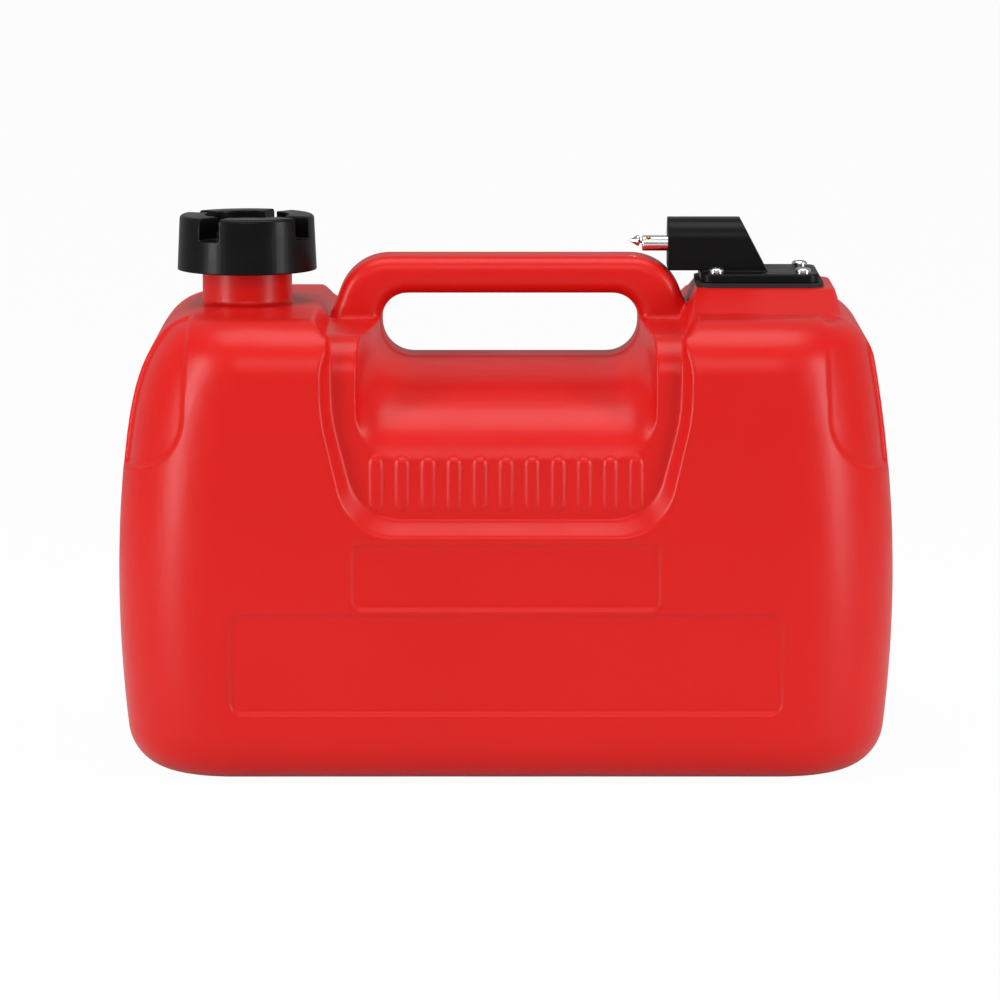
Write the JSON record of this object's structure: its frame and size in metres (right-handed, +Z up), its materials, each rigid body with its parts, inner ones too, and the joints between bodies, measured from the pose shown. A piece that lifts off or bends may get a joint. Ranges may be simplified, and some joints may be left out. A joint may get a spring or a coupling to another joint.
{
  "type": "portable fuel tank",
  "caption": "Portable outboard fuel tank with moulded handle, screw filler cap with vent screw, and a top pickup housing with a hooded quick-connect fuel nozzle.",
  "frame": {"origin": "centre of the tank's bottom face, on the floor", "axes": "+X along the tank towards the fuel connector's end, +Y to the back, +Z up"},
  "size_m": [0.3632, 0.205, 0.256],
  "materials": {
    "tank_plastic": "red blow-moulded polyethylene, satin gloss",
    "cap_plastic": "black moulded polypropylene",
    "housing_plastic": "black glass-filled nylon",
    "seal_rubber": "black nitrile rubber",
    "clip_plastic": "natural acetal",
    "screw_steel": "bright plated steel",
    "insert_brass": "turned brass",
    "connector_chrome": "chromed brass",
    "spring_steel": "stainless steel",
    "tube_plastic": "natural nylon"
  },
  "bodies": {
    "tank": {"tank_body": "tank_plastic", "threaded_inserts": "insert_brass", "base_gasket": "seal_rubber", "pickup_housing": "housing_plastic", "base_screws": "screw_steel", "connector_body": "connector_chrome", "connector_screws": "screw_steel", "passage_plug": "insert_brass", "fuel_nozzle": "connector_chrome", "locking_pin": "connector_chrome", "spring_seat": "insert_brass", "valve_spring": "spring_steel", "elbow": "insert_brass", "elbow_seal": "seal_rubber", "pickup_tube": "tube_plastic", "tube_clamp": "spring_steel", "filter_body": "tube_plastic", "filter_mesh": "spring_steel", "filter_foot": "tube_plastic"},
    "cap_gasket": {"cap_gasket": "seal_rubber"},
    "cap": {"filler_cap": "cap_plastic"},
    "vent": {"vent_knob": "cap_plastic", "vent_washer": "seal_rubber", "vent_clip": "clip_plastic"},
    "poppet": {"check_poppet": "insert_brass", "poppet_seal": "seal_rubber"}
  },
  "joints": [
    {"name": "cap_lift", "type": "slide", "parent": "tank", "child": "cap_gasket", "axis": [0, 0, 1], "range_m": [0, 0.03]},
    {"name": "cap_turn", "type": "hinge", "parent": "cap_gasket", "child": "cap", "pos_m": [-0.123, 0, 0.24], "axis": [0, 0, 1], "range_deg": [0, 1800]},
    {"name": "vent_turn", "type": "hinge", "parent": "cap", "child": "vent", "pos_m": [-0.123, 0, 0.25], "axis": [0, 0, 1], "range_deg": [0, 180]},
    {"name": "valve_slide", "type": "slide", "parent": "tank", "child": "poppet", "axis": [1, 0, 0], "range_m": [0, 0.003], "stiffness_N_per_m": 250, "springref_m": -0.002, "deforming": ["valve_spring"]}
  ],
  "couplings": [
    {"joint": "cap_lift", "follows": "cap_turn", "m_per_rad": 0.00095493}
  ]
}
